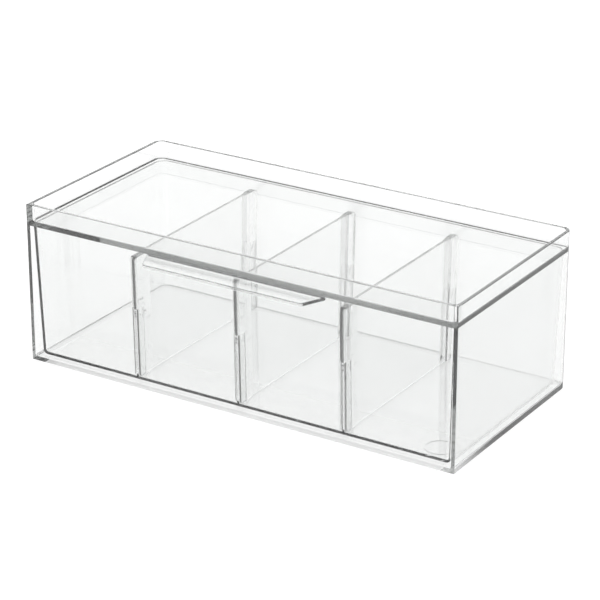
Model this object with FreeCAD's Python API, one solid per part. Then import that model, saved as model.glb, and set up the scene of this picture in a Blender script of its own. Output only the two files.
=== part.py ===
import FreeCAD, Part
import math
import os

# Clear tea bag drawer box: a moulded casing that is open at the front, a sliding drawer
# with a finger lip, and three removable dividers that slip over ribs inside the drawer.
#
# Millimetres. +X is to the right seen from the front, +Y to the back, +Z up. The origin is
# the centre of the casing's base, on the surface that the box stands on.

# ---------------------------------------------------------------- driving dimensions

# Casing
CASING_WIDTH = 320.0
CASING_DEPTH = 150.0
CASING_HEIGHT = 110.0
CASING_WALL = 2.5
CASING_FLOOR = 3.0
CASING_ROOF = 2.5
RIM_HEIGHT = 12.0             # stacking rim, above the recessed roof
REAR_CORNER_RADIUS = 6.5      # upright rear corners, outside
BASE_EDGE_RADIUS = 0.8        # side and rear edges of the base, outside
CAVITY_CORNER_RADIUS = 4.5    # upright rear corners, inside
CAVITY_FLOOR_RADIUS = 1.5     # along the floor's sides and back, inside
TRAY_EDGE_RADIUS = 1.2        # between the rim and the recessed roof
RIM_TOP_RADIUS = 0.5          # rim's top edges

# Drawer
DRAWER_WALL = 1.5
DRAWER_FLOOR = 1.5
DRAWER_DRAFT_DEG = 1.4        # every side leans in towards the floor
DRAWER_FRONT_EDGE_RADIUS = 0.7    # outside, round the front face's sides and base
DRAWER_REAR_CORNER_RADIUS = 8.0
DRAWER_BASE_RADIUS = 3.4      # outside, along the floor's sides and back
DRAWER_INNER_RADIUS = 1.9     # inside, along the floor's sides and back
DRAWER_FRONT_INNER_RADIUS = 1.0   # inside, along the floor's front
DRAWER_TOP_EDGE_RADIUS = 0.4

# Finger lip on the drawer's front
LIP_ROOT_WIDTH = 133.0
LIP_FRONT_WIDTH = 118.0
LIP_REACH = 16.5
LIP_THICKNESS = 2.2
LIP_DROP = 0.8                # lip's top below the drawer's top edge
LIP_CORNER_RADIUS = 4.0
LIP_EDGE_RADIUS = 0.7
LIP_ROOT_RADIUS = 1.5         # under the lip, against the drawer's front

# Guide ribs that hold the dividers
DIVIDER_COUNT = 3
RIB_THICKNESS = 1.6
RIB_REACH = 6.5
RIB_HEIGHT = 47.0             # above the drawer's floor, where the rib meets the wall

# Dividers
DIVIDER_THICKNESS = 2.0
PRONG_THICKNESS = 1.3
FORK_TAPER_LENGTH = 7.0
DIVIDER_TOP_RADIUS = 2.0

# Plain round moulding mark on the drawer's floor
MARK_RADIUS = 10.0
MARK_RING_WIDTH = 0.9
MARK_HEIGHT = 0.4
MARK_MARGIN = 1.5             # from the floor's inner curves

# Clearances
DRAWER_SETBACK = 2.5          # drawer's top front edge behind the casing's front
DRAWER_SIDE_GAP = 0.8
DRAWER_REAR_GAP = 0.3
DRAWER_TOP_GAP = 0.5
DRAWER_UNDER_GAP = 0.4
RIB_SIDE_GAP = 0.2            # each side of a rib, in a divider's fork
FORK_DEPTH_GAP = 0.4
FORK_TOP_GAP = 0.6            # above a rib, in a divider's fork
DIVIDER_END_GAP = 0.3
DIVIDER_UNDER_GAP = 0.3
DIVIDER_HEADROOM = 6.4        # free height between the dividers and the casing's roof

# ---------------------------------------------------------------- worked-out places

V = FreeCAD.Vector

CASING_FRONT_Y = -CASING_DEPTH / 2
CASING_REAR_Y = CASING_DEPTH / 2
ROOF_TOP_Z = CASING_HEIGHT - RIM_HEIGHT
CAVITY_TOP_Z = ROOF_TOP_Z - CASING_ROOF
CAVITY_REAR_Y = CASING_REAR_Y - CASING_WALL
CAVITY_HALF_WIDTH = CASING_WIDTH / 2 - CASING_WALL

DRAWER_BASE_Z = CASING_FLOOR + DRAWER_UNDER_GAP
DRAWER_TOP_Z = CAVITY_TOP_Z - DRAWER_TOP_GAP
DRAWER_FLOOR_Z = DRAWER_BASE_Z + DRAWER_FLOOR
DRAWER_FRONT_Y = CASING_FRONT_Y + DRAWER_SETBACK
DRAWER_REAR_Y = CAVITY_REAR_Y - DRAWER_REAR_GAP
DRAWER_HALF_WIDTH = CAVITY_HALF_WIDTH - DRAWER_SIDE_GAP
LIP_TOP_Z = DRAWER_TOP_Z - LIP_DROP
LIP_BASE_Z = LIP_TOP_Z - LIP_THICKNESS

FORK_WIDTH = RIB_THICKNESS + 2 * (RIB_SIDE_GAP + PRONG_THICKNESS)
FORK_DEPTH = RIB_REACH - DIVIDER_END_GAP + FORK_DEPTH_GAP
FORK_LENGTH = FORK_DEPTH + DIVIDER_THICKNESS
DIVIDER_BASE_Z = DRAWER_FLOOR_Z + DIVIDER_UNDER_GAP
DIVIDER_TOP_Z = CAVITY_TOP_Z - DIVIDER_HEADROOM
RIB_TOP_Z = DRAWER_FLOOR_Z + RIB_HEIGHT
FORK_TOP_Z = RIB_TOP_Z + FORK_TOP_GAP
DIVIDER_BASE_RADIUS = DRAWER_INNER_RADIUS + DIVIDER_UNDER_GAP

PAST = 1.0                    # how far a cutting body runs past a face


def draft_inset(z):
    """How far the drawer's sides lean in at height z, from where they are at its top."""
    return (DRAWER_TOP_Z - z) * math.tan(math.radians(DRAWER_DRAFT_DEG))


def divider_positions():
    """X of each divider's middle: they part the drawer into equal compartments."""
    inner_width = 2 * (DRAWER_HALF_WIDTH - DRAWER_WALL)
    pitch = (inner_width + DIVIDER_THICKNESS) / (DIVIDER_COUNT + 1)
    return [(number - (DIVIDER_COUNT - 1) / 2) * pitch for number in range(DIVIDER_COUNT)]


# ---------------------------------------------------------------- shared shapes

def rounded_outline(half_width, front_y, rear_y, z, front_radius, rear_radius):
    """Closed wire at height z: a rectangle with its own front and rear corner radii."""
    corners = [
        (V(-half_width, front_y, z), V(0, 1, 0), V(1, 0, 0), front_radius),
        (V(half_width, front_y, z), V(-1, 0, 0), V(0, 1, 0), front_radius),
        (V(half_width, rear_y, z), V(0, -1, 0), V(-1, 0, 0), rear_radius),
        (V(-half_width, rear_y, z), V(1, 0, 0), V(0, -1, 0), rear_radius),
    ]
    edges = []
    start = None
    first = None
    for corner, back, ahead, radius in corners:
        entry = corner + back * radius
        leave = corner + ahead * radius
        if first is None:
            first = entry
        else:
            edges.append(Part.LineSegment(start, entry).toShape())
        if radius > 0:
            middle = corner + (back + ahead) * radius * (1 - math.sqrt(0.5))
            edges.append(Part.Arc(entry, middle, leave).toShape())
        start = leave
    edges.append(Part.LineSegment(start, first).toShape())
    return Part.Wire(edges)


def upright_block(outline, height):
    return Part.Face(outline).extrude(V(0, 0, height))


def drafted_block(half_width, front_y, rear_y, base_z, top_z, front_radius, rear_radius):
    """Block whose four sides lean in towards its base, as the drawer's do."""
    outlines = []
    for z in (base_z, top_z):
        inset = draft_inset(z)
        outlines.append(rounded_outline(half_width - inset, front_y + inset, rear_y - inset,
                                        z, front_radius, rear_radius))
    return Part.makeLoft(outlines, True, True)


def edges_at_height(shape, z):
    tolerance = 1e-4
    found = []
    for edge in shape.Edges:
        box = edge.BoundBox
        if abs(box.ZMin - z) < tolerance and abs(box.ZMax - z) < tolerance:
            found.append(edge)
    return found


def prism_along_x(points, centre_x, width):
    """Polygon in the YZ plane, given as (y, z) pairs, with its thickness along X."""
    start_x = centre_x - width / 2
    loop = [V(start_x, y, z) for y, z in points]
    outline = Part.makePolygon(loop + loop[:1])
    return Part.Face(outline).extrude(V(width, 0, 0))


# ---------------------------------------------------------------- casing

def make_casing():
    half_width = CASING_WIDTH / 2
    body = upright_block(
        rounded_outline(half_width, CASING_FRONT_Y, CASING_REAR_Y, 0, 0, REAR_CORNER_RADIUS),
        CASING_HEIGHT)
    base_edges = [edge for edge in edges_at_height(body, 0)
                  if edge.BoundBox.YMax > CASING_FRONT_Y + PAST]
    body = body.makeFillet(BASE_EDGE_RADIUS, base_edges)

    cavity = Part.makeBox(2 * CAVITY_HALF_WIDTH, CAVITY_REAR_Y - CASING_FRONT_Y + PAST,
                          CAVITY_TOP_Z - CASING_FLOOR,
                          V(-CAVITY_HALF_WIDTH, CASING_FRONT_Y - PAST, CASING_FLOOR))
    cavity = cavity.makeFillet(CAVITY_CORNER_RADIUS, cavity_rear_corners(cavity))
    cavity = cavity.makeFillet(CAVITY_FLOOR_RADIUS, cavity_floor_edges(cavity))

    tray_radius = REAR_CORNER_RADIUS - CASING_WALL
    tray = upright_block(
        rounded_outline(CAVITY_HALF_WIDTH, CASING_FRONT_Y + CASING_WALL, CAVITY_REAR_Y,
                        ROOF_TOP_Z, tray_radius, tray_radius),
        RIM_HEIGHT + PAST)
    tray = tray.makeFillet(TRAY_EDGE_RADIUS, edges_at_height(tray, ROOF_TOP_Z))

    casing = body.cut(cavity).cut(tray)
    return casing.makeFillet(RIM_TOP_RADIUS, edges_at_height(casing, CASING_HEIGHT))


def cavity_rear_corners(cavity):
    """The two upright inner edges at the back."""
    return [edge for edge in cavity.Edges
            if edge.BoundBox.ZLength > CAVITY_TOP_Z / 2
            and edge.BoundBox.YMin > CAVITY_REAR_Y - PAST]


def cavity_floor_edges(cavity):
    """Inner edges round the floor, apart from the one at the open front."""
    return [edge for edge in edges_at_height(cavity, CASING_FLOOR)
            if edge.BoundBox.YMax > CASING_FRONT_Y]


# ---------------------------------------------------------------- drawer

def make_rib(centre_x, front):
    """Upright rib inside the drawer's front or rear wall, with a sloping lead-in on top."""
    middle_of_wall = DRAWER_WALL / 2
    middle_of_floor_z = DRAWER_FLOOR_Z - DRAWER_FLOOR / 2

    def wall_y(z, inward):
        if front:
            return DRAWER_FRONT_Y + draft_inset(z) + inward
        return DRAWER_REAR_Y - draft_inset(z) - inward

    tip = DRAWER_WALL + RIB_REACH
    lead_in_z = RIB_TOP_Z - RIB_REACH
    points = [
        (wall_y(middle_of_floor_z, middle_of_wall), middle_of_floor_z),
        (wall_y(middle_of_floor_z, tip), middle_of_floor_z),
        (wall_y(lead_in_z, tip), lead_in_z),
        (wall_y(RIB_TOP_Z, DRAWER_WALL), RIB_TOP_Z),
        (wall_y(RIB_TOP_Z, middle_of_wall), RIB_TOP_Z),
    ]
    return prism_along_x(points, centre_x, RIB_THICKNESS)


def make_lip():
    """Flat tongue that stands out from the drawer's top front edge."""
    half_root = LIP_ROOT_WIDTH / 2
    half_front = LIP_FRONT_WIDTH / 2
    front_y = DRAWER_FRONT_Y - LIP_REACH
    root_y = DRAWER_FRONT_Y + DRAWER_WALL / 2
    loop = [
        V(-half_root, root_y, LIP_BASE_Z),
        V(-half_root, DRAWER_FRONT_Y, LIP_BASE_Z),
        V(-half_front, front_y, LIP_BASE_Z),
        V(half_front, front_y, LIP_BASE_Z),
        V(half_root, DRAWER_FRONT_Y, LIP_BASE_Z),
        V(half_root, root_y, LIP_BASE_Z),
    ]
    lip = Part.Face(Part.makePolygon(loop + loop[:1])).extrude(V(0, 0, LIP_THICKNESS))
    front_corners = [edge for edge in lip.Edges
                     if edge.BoundBox.ZLength > LIP_THICKNESS / 2
                     and edge.BoundBox.YMax < front_y + PAST]
    lip = lip.makeFillet(LIP_CORNER_RADIUS, front_corners)
    free_edges = [edge for edge in lip.Edges
                  if edge.BoundBox.ZLength < LIP_THICKNESS / 2
                  and edge.BoundBox.YMin < DRAWER_FRONT_Y - PAST]
    return lip.makeFillet(LIP_EDGE_RADIUS, free_edges)


def make_lip_root():
    """Concave fillet under the lip, along the drawer's front."""
    low_z = LIP_BASE_Z - LIP_ROOT_RADIUS
    wall_low_y = DRAWER_FRONT_Y + draft_inset(low_z)
    wall_high_y = DRAWER_FRONT_Y + draft_inset(LIP_BASE_Z)
    inside_y = DRAWER_FRONT_Y + DRAWER_WALL / 2
    half_length = LIP_ROOT_WIDTH / 2 - LIP_ROOT_RADIUS
    bulge = LIP_ROOT_RADIUS * (1 - math.sqrt(0.5))
    low = V(-half_length, wall_low_y, low_z)
    middle = V(-half_length, wall_high_y - bulge, LIP_BASE_Z - bulge)
    high = V(-half_length, wall_high_y - LIP_ROOT_RADIUS, LIP_BASE_Z)
    above = V(-half_length, wall_high_y - LIP_ROOT_RADIUS, LIP_BASE_Z + LIP_THICKNESS / 2)
    inside_high = V(-half_length, inside_y, LIP_BASE_Z + LIP_THICKNESS / 2)
    inside_low = V(-half_length, inside_y + draft_inset(low_z), low_z)
    edges = [
        Part.Arc(low, middle, high).toShape(),
        Part.LineSegment(high, above).toShape(),
        Part.LineSegment(above, inside_high).toShape(),
        Part.LineSegment(inside_high, inside_low).toShape(),
        Part.LineSegment(inside_low, low).toShape(),
    ]
    return Part.Face(Part.Wire(edges)).extrude(V(2 * half_length, 0, 0))


def make_mark():
    """Bare raised ring on the floor, in the front right corner."""
    inset = draft_inset(DRAWER_FLOOR_Z) + DRAWER_WALL + DRAWER_INNER_RADIUS
    reach = inset + MARK_MARGIN + MARK_RADIUS
    sunk = DRAWER_FLOOR / 2
    centre = V(DRAWER_HALF_WIDTH - reach, DRAWER_FRONT_Y + reach, DRAWER_FLOOR_Z - sunk)
    height = sunk + MARK_HEIGHT
    ring = Part.makeCylinder(MARK_RADIUS, height, centre)
    return ring.cut(Part.makeCylinder(MARK_RADIUS - MARK_RING_WIDTH, height, centre))


def make_drawer_hollow():
    front_y = DRAWER_FRONT_Y + DRAWER_WALL
    hollow = drafted_block(DRAWER_HALF_WIDTH - DRAWER_WALL, front_y, DRAWER_REAR_Y - DRAWER_WALL,
                           DRAWER_FLOOR_Z, DRAWER_TOP_Z + PAST,
                           0, DRAWER_REAR_CORNER_RADIUS - DRAWER_WALL)
    behind_front_y = front_y + draft_inset(DRAWER_FLOOR_Z) + PAST
    side_and_rear = [edge for edge in edges_at_height(hollow, DRAWER_FLOOR_Z)
                     if edge.BoundBox.YMax > behind_front_y]
    hollow = hollow.makeFillet(DRAWER_INNER_RADIUS, side_and_rear)
    front = [edge for edge in edges_at_height(hollow, DRAWER_FLOOR_Z)
             if edge.BoundBox.YMax < behind_front_y]
    return hollow.makeFillet(DRAWER_FRONT_INNER_RADIUS, front)


def make_drawer_body():
    """The drawer's outside, before it is hollowed."""
    body = drafted_block(DRAWER_HALF_WIDTH, DRAWER_FRONT_Y, DRAWER_REAR_Y,
                         DRAWER_BASE_Z, DRAWER_TOP_Z, 0, DRAWER_REAR_CORNER_RADIUS)
    behind_front_y = DRAWER_FRONT_Y + draft_inset(DRAWER_BASE_Z) + PAST
    side_and_rear = [edge for edge in edges_at_height(body, DRAWER_BASE_Z)
                     if edge.BoundBox.YMax > behind_front_y]
    body = body.makeFillet(DRAWER_BASE_RADIUS, side_and_rear)
    front_outline = [edge for edge in body.Edges
                     if edge.BoundBox.YMax < behind_front_y
                     and edge.BoundBox.ZMin < DRAWER_TOP_Z - PAST]
    return body.makeFillet(DRAWER_FRONT_EDGE_RADIUS, front_outline)


def make_drawer():
    body = make_drawer_body()
    drawer = body.cut(make_drawer_hollow())
    drawer = drawer.makeFillet(DRAWER_TOP_EDGE_RADIUS, edges_at_height(drawer, DRAWER_TOP_Z))

    additions = [make_lip(), make_lip_root(), make_mark()]
    for centre_x in divider_positions():
        additions.append(make_rib(centre_x, front=True))
        additions.append(make_rib(centre_x, front=False))
    for addition in additions:
        drawer = drawer.fuse(addition)
    return drawer.removeSplitter()


# ---------------------------------------------------------------- dividers

def make_divider(centre_x):
    """Flat plate with a forked, thickened edge at each end; each fork straddles a rib."""
    base_inset = draft_inset(DIVIDER_BASE_Z) + DRAWER_WALL + DIVIDER_END_GAP
    top_inset = draft_inset(DIVIDER_TOP_Z) + DRAWER_WALL + DIVIDER_END_GAP
    front_y = DRAWER_FRONT_Y + base_inset
    rear_y = DRAWER_REAR_Y - base_inset
    lean = base_inset - top_inset

    ends = [make_fork(centre_x, front_y, 1, lean), make_fork(centre_x, rear_y, -1, lean)]
    plate_inset = FORK_LENGTH
    plate = prism_along_x([
        (front_y + plate_inset, DIVIDER_BASE_Z),
        (rear_y - plate_inset, DIVIDER_BASE_Z),
        (rear_y - plate_inset + lean, DIVIDER_TOP_Z),
        (front_y + plate_inset - lean, DIVIDER_TOP_Z),
    ], centre_x, DIVIDER_THICKNESS)
    divider = plate.fuse(ends).removeSplitter()

    silhouette = prism_along_x([
        (front_y, DIVIDER_BASE_Z),
        (rear_y, DIVIDER_BASE_Z),
        (rear_y + lean, DIVIDER_TOP_Z),
        (front_y - lean, DIVIDER_TOP_Z),
    ], centre_x, FORK_WIDTH + 2 * PAST)
    for z, radius in ((DIVIDER_TOP_Z, DIVIDER_TOP_RADIUS), (DIVIDER_BASE_Z, DIVIDER_BASE_RADIUS)):
        corner_edges = [edge for edge in edges_at_height(silhouette, z)
                        if edge.BoundBox.XLength > edge.BoundBox.YLength]
        silhouette = silhouette.makeFillet(radius, corner_edges)
    return divider.common(silhouette)


def make_fork(centre_x, end_y, inward, lean):
    """One end of a divider: a thick upright bar, slotted from below to straddle a rib."""
    half_fork = FORK_WIDTH / 2
    half_plate = DIVIDER_THICKNESS / 2
    half_slot = RIB_THICKNESS / 2 + RIB_SIDE_GAP
    shoulder_y = end_y + inward * FORK_LENGTH
    taper_y = shoulder_y + inward * FORK_TAPER_LENGTH
    bar = leaning_prism([(-half_fork, end_y), (half_fork, end_y), (half_fork, shoulder_y),
                         (half_plate, taper_y), (-half_plate, taper_y),
                         (-half_fork, shoulder_y)],
                        centre_x, DIVIDER_TOP_Z, -inward * lean)
    slot_y = end_y + inward * FORK_DEPTH
    open_y = end_y - inward * PAST
    slot_share = (FORK_TOP_Z - DIVIDER_BASE_Z) / (DIVIDER_TOP_Z - DIVIDER_BASE_Z)
    slot = leaning_prism([(-half_slot, open_y), (half_slot, open_y),
                          (half_slot, slot_y), (-half_slot, slot_y)],
                         centre_x, FORK_TOP_Z, -inward * lean * slot_share)
    return bar.cut(slot)


def leaning_prism(points, centre_x, top_z, shift_y):
    """Outline at a divider's base, given as (x, y) pairs, swept up and along Y by shift_y."""
    loop = [V(centre_x + x, y, DIVIDER_BASE_Z) for x, y in points]
    outline = Part.makePolygon(loop + loop[:1])
    return Part.Face(outline).extrude(V(0, shift_y, top_z - DIVIDER_BASE_Z))


# ---------------------------------------------------------------- write the pieces

def main():
    os.makedirs("parts", exist_ok=True)
    pieces = {"casing": make_casing(), "drawer": make_drawer()}
    places = ("left", "centre", "right")
    for place, centre_x in zip(places, divider_positions()):
        pieces["divider_" + place] = make_divider(centre_x)
    for name, shape in pieces.items():
        print(name, "solids", len(shape.Solids), "valid", shape.isValid(),
              "volume", round(shape.Volume, 1))
        shape.exportStep("parts/" + name + ".step")


main()
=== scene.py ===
import math
from collections import namedtuple

import bpy
from mathutils import Matrix, Vector


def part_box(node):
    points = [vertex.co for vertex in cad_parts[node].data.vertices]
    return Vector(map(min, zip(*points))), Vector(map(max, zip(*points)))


# Clear tea bag drawer box on a pale studio floor. Metres, in the frame of the CAD.

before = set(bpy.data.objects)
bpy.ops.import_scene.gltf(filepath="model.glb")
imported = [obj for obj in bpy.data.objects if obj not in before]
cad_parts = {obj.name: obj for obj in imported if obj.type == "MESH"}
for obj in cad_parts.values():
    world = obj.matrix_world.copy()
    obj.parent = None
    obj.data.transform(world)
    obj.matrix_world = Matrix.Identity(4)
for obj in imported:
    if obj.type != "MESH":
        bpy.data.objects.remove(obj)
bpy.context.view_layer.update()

WHITE = (1.0, 1.0, 1.0, 1.0)

# ---------------------------------------------------------------- camera

CAMERA_AZIMUTH = math.radians(32.13)      # to the right of straight in front
CAMERA_ELEVATION = math.radians(22.96)
CAMERA_DISTANCE = 1.676
CAMERA_LENS = 154.86                      # millimetres, as is the sensor's width
CAMERA_SENSOR = 36.0
CAMERA_TARGET = Vector((0.0024, 0.0005, 0.0519))
FARTHEST_SEEN = 50.0

# ---------------------------------------------------------------- studio

FLOOR_RADIUS = 6.0
FLOOR_SIDES = 96
FLOOR_DROP = 0.0004                       # below the base, so that no two faces coincide
FLOOR_ROUGHNESS = 0.35
FLOOR_ALBEDO = (0.17, 0.19)               # darkest and palest grey
FLOOR_GLOW = 0.90
FLOOR_CLOUD_SCALE = 3.0

# The soft studio dome: sine of the height above the horizon, and brightness there
DOME_STOPS = ((0.0, 1.3), (0.45, 1.25), (0.75, 0.45), (1.0, 0.3))

# ---------------------------------------------------------------- clear plastic

IOR = 1.57
CLARITY = 0.98                            # the rest is a faint milky scatter
ABSORPTION_TINT = (0.50, 0.515, 0.508)    # the colour that long ways through it take

# dark, pale: the ends of the surface tint. smoothest, dullest: the ends of the roughness.
# cloud_scale, ripple_scale: flow clouds and fine ripple in the moulded surface, per metre.
# darkening: how fast the plastic darkens along the light's way, per metre.
Finish = namedtuple("Finish", "dark pale smoothest dullest cloud_scale ripple_scale darkening")

CASING_FINISH = Finish(dark=(0.948, 0.952, 0.950), pale=(0.960, 0.964, 0.962),
                       smoothest=0.010, dullest=0.020,
                       cloud_scale=9.0, ripple_scale=90.0, darkening=13.0)
DRAWER_FINISH = Finish(dark=(0.983, 0.987, 0.985), pale=(0.993, 0.996, 0.995),
                       smoothest=0.012, dullest=0.024,
                       cloud_scale=12.0, ripple_scale=110.0, darkening=7.0)
DIVIDER_FINISH = Finish(dark=(0.980, 0.984, 0.982), pale=(0.988, 0.991, 0.990),
                        smoothest=0.014, dullest=0.028,
                        cloud_scale=16.0, ripple_scale=140.0, darkening=14.0)

CLOUD_DETAIL = 2.0
CLOUD_TINT_BAND = (0.35, 0.65)            # noise levels between which the tint changes
CLOUD_ROUGHNESS_BAND = (0.3, 0.7)
RIPPLE_DETAIL = 3.0
RIPPLE_HEIGHT = 0.00002
RIPPLE_STRENGTH = 0.12

# The casing's base is lightly frosted along its front, but not under its outer edges.
# The frost is full up to its inset from the front edge and fades to none at its reach.
FROST_HEIGHT = 0.0001                     # above the base, so only the underside is frosted
FROST_SIDE_INSET = 0.010
FROST_FRONT_INSET = 0.010
FROST_REACH = 0.060
FROST_SHARE = 0.6

LIGHT_BOUNCES = 32                        # light runs a long way inside clear walls
DIFFUSE_BOUNCES = 3


def make_camera():
    azimuth, elevation = CAMERA_AZIMUTH, CAMERA_ELEVATION
    back = Vector((math.sin(azimuth) * math.cos(elevation),
                   -math.cos(azimuth) * math.cos(elevation),
                   math.sin(elevation)))
    data = bpy.data.cameras.new("camera")
    data.lens = CAMERA_LENS
    data.sensor_width = CAMERA_SENSOR
    data.clip_end = FARTHEST_SEEN
    camera = bpy.data.objects.new("camera", data)
    bpy.context.scene.collection.objects.link(camera)
    turn = back.to_track_quat("Z", "Y").to_matrix().to_4x4()
    camera.matrix_world = Matrix.Translation(CAMERA_TARGET + back * CAMERA_DISTANCE) @ turn
    bpy.context.scene.camera = camera


def new_material(name):
    """Node material that holds only a Principled surface and its output."""
    material = bpy.data.materials.new(name)
    material.use_nodes = True
    tree = material.node_tree
    tree.nodes.clear()
    shader = tree.nodes.new("ShaderNodeBsdfPrincipled")
    output = tree.nodes.new("ShaderNodeOutputMaterial")
    tree.links.new(shader.outputs["BSDF"], output.inputs["Surface"])
    return material, tree, shader, output


def noise(tree, scale, detail):
    """Noise over the piece's own coordinates, from 0 to 1."""
    coordinates = tree.nodes.new("ShaderNodeTexCoord")
    texture = tree.nodes.new("ShaderNodeTexNoise")
    texture.inputs["Scale"].default_value = scale
    texture.inputs["Detail"].default_value = detail
    tree.links.new(coordinates.outputs["Object"], texture.inputs["Vector"])
    return texture.outputs["Fac"]


def colour_between(tree, clouds, dark, pale):
    """Tint that goes from dark to pale with the clouds."""
    ramp = tree.nodes.new("ShaderNodeValToRGB")
    low, high = ramp.color_ramp.elements
    low.position, high.position = CLOUD_TINT_BAND
    low.color = (*dark, 1.0)
    high.color = (*pale, 1.0)
    tree.links.new(clouds, ramp.inputs["Fac"])
    return ramp.outputs["Color"]


def spread(tree, value, source, target):
    """The value, taken from the source range to the target range and kept inside it."""
    mapping = tree.nodes.new("ShaderNodeMapRange")
    mapping.inputs["From Min"].default_value, mapping.inputs["From Max"].default_value = source
    mapping.inputs["To Min"].default_value, mapping.inputs["To Max"].default_value = target
    tree.links.new(value, mapping.inputs["Value"])
    return mapping.outputs["Result"]


def below(tree, value, limit):
    """1 where the value is less than the limit, otherwise 0."""
    test = tree.nodes.new("ShaderNodeMath")
    test.operation = "LESS_THAN"
    test.inputs[1].default_value = limit
    tree.links.new(value, test.inputs[0])
    return test.outputs["Value"]


def product(tree, first, second):
    multiply = tree.nodes.new("ShaderNodeMath")
    multiply.operation = "MULTIPLY"
    tree.links.new(first, multiply.inputs[0])
    tree.links.new(second, multiply.inputs[1])
    return multiply.outputs["Value"]


def frost_base(tree, shader, output):
    """Frosts the front of the panel that the box stands on, so that it scatters light up."""
    left, front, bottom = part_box("casing")[0]
    coordinates = tree.nodes.new("ShaderNodeTexCoord")
    parts = tree.nodes.new("ShaderNodeSeparateXYZ")
    tree.links.new(coordinates.outputs["Object"], parts.inputs["Vector"])
    sideways = tree.nodes.new("ShaderNodeMath")
    sideways.operation = "ABSOLUTE"
    tree.links.new(parts.outputs["X"], sideways.inputs[0])

    on_base = below(tree, parts.outputs["Z"], bottom + FROST_HEIGHT)
    inside_edges = below(tree, sideways.outputs["Value"], -left - FROST_SIDE_INSET)
    fading = spread(tree, parts.outputs["Y"],
                    (front + FROST_FRONT_INSET, front + FROST_REACH), (FROST_SHARE, 0.0))
    share = product(tree, product(tree, on_base, inside_edges), fading)

    frost = tree.nodes.new("ShaderNodeBsdfTranslucent")
    frost.inputs["Color"].default_value = WHITE
    blend = tree.nodes.new("ShaderNodeMixShader")
    tree.links.new(share, blend.inputs["Fac"])
    tree.links.new(shader.outputs["BSDF"], blend.inputs[1])
    tree.links.new(frost.outputs["BSDF"], blend.inputs[2])
    tree.links.new(blend.outputs["Shader"], output.inputs["Surface"])


def clear_plastic(name, finish, frosted_base=False):
    """Clear moulded plastic: faint flow clouds, a fine ripple, darker along long ways."""
    material, tree, shader, output = new_material(name)
    shader.inputs["Transmission Weight"].default_value = CLARITY
    shader.inputs["IOR"].default_value = IOR
    clouds = noise(tree, finish.cloud_scale, CLOUD_DETAIL)
    tint = colour_between(tree, clouds, finish.dark, finish.pale)
    tree.links.new(tint, shader.inputs["Base Color"])
    roughness = spread(tree, clouds, CLOUD_ROUGHNESS_BAND, (finish.smoothest, finish.dullest))
    tree.links.new(roughness, shader.inputs["Roughness"])

    ripple = tree.nodes.new("ShaderNodeBump")
    ripple.inputs["Strength"].default_value = RIPPLE_STRENGTH
    ripple.inputs["Distance"].default_value = RIPPLE_HEIGHT
    tree.links.new(noise(tree, finish.ripple_scale, RIPPLE_DETAIL), ripple.inputs["Height"])
    tree.links.new(ripple.outputs["Normal"], shader.inputs["Normal"])

    absorption = tree.nodes.new("ShaderNodeVolumeAbsorption")
    absorption.inputs["Color"].default_value = (*ABSORPTION_TINT, 1.0)
    absorption.inputs["Density"].default_value = finish.darkening
    tree.links.new(absorption.outputs["Volume"], output.inputs["Volume"])
    if frosted_base:
        frost_base(tree, shader, output)
    return material


def make_floor():
    """Round pale floor that glows a little, with faint clouds."""
    mesh = bpy.data.meshes.new("studio_floor")
    angles = [2 * math.pi * number / FLOOR_SIDES for number in range(FLOOR_SIDES)]
    rim = [(FLOOR_RADIUS * math.cos(angle), FLOOR_RADIUS * math.sin(angle), 0.0)
           for angle in angles]
    mesh.from_pydata(rim, [], [tuple(range(FLOOR_SIDES))])
    floor = bpy.data.objects.new("studio_floor", mesh)
    floor.location.z = -FLOOR_DROP
    bpy.context.scene.collection.objects.link(floor)
    material, tree, shader, _ = new_material("studio_floor")
    dark, pale = ((level,) * 3 for level in FLOOR_ALBEDO)
    clouds = noise(tree, FLOOR_CLOUD_SCALE, CLOUD_DETAIL)
    tree.links.new(colour_between(tree, clouds, dark, pale), shader.inputs["Base Color"])
    shader.inputs["Roughness"].default_value = FLOOR_ROUGHNESS
    shader.inputs["Emission Color"].default_value = WHITE
    shader.inputs["Emission Strength"].default_value = FLOOR_GLOW
    floor.data.materials.append(material)


def make_dome():
    """Soft light from all round: bright near the horizon, dimmer overhead."""
    world = bpy.data.worlds.new("studio_dome")
    bpy.context.scene.world = world
    world.use_nodes = True
    tree = world.node_tree
    direction = tree.nodes.new("ShaderNodeTexCoord")
    parts = tree.nodes.new("ShaderNodeSeparateXYZ")
    ramp = tree.nodes.new("ShaderNodeValToRGB")
    tree.links.new(direction.outputs["Generated"], parts.inputs["Vector"])
    tree.links.new(parts.outputs["Z"], ramp.inputs["Fac"])
    stops = ramp.color_ramp.elements      # a new ramp has its two end stops
    for position, _ in DOME_STOPS[1:-1]:
        stops.new(position)
    for stop, (_, level) in zip(stops, DOME_STOPS):
        stop.color = (level, level, level, 1.0)
    tree.links.new(ramp.outputs["Color"], tree.nodes["Background"].inputs["Color"])


def set_light_paths():
    scene = bpy.context.scene
    scene.view_settings.view_transform = "Standard"
    scene.cycles.max_bounces = LIGHT_BOUNCES
    scene.cycles.transmission_bounces = LIGHT_BOUNCES
    scene.cycles.glossy_bounces = LIGHT_BOUNCES
    scene.cycles.diffuse_bounces = DIFFUSE_BOUNCES


divider_plastic = clear_plastic("divider_clear", DIVIDER_FINISH)
finishes = {
    "casing": clear_plastic("casing_clear", CASING_FINISH, frosted_base=True),
    "drawer": clear_plastic("drawer_clear", DRAWER_FINISH),
    "divider_left": divider_plastic,
    "divider_centre": divider_plastic,
    "divider_right": divider_plastic,
}
for node, material in finishes.items():
    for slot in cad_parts[node].material_slots:
        slot.material = material

make_floor()
make_dome()
make_camera()
set_light_paths()
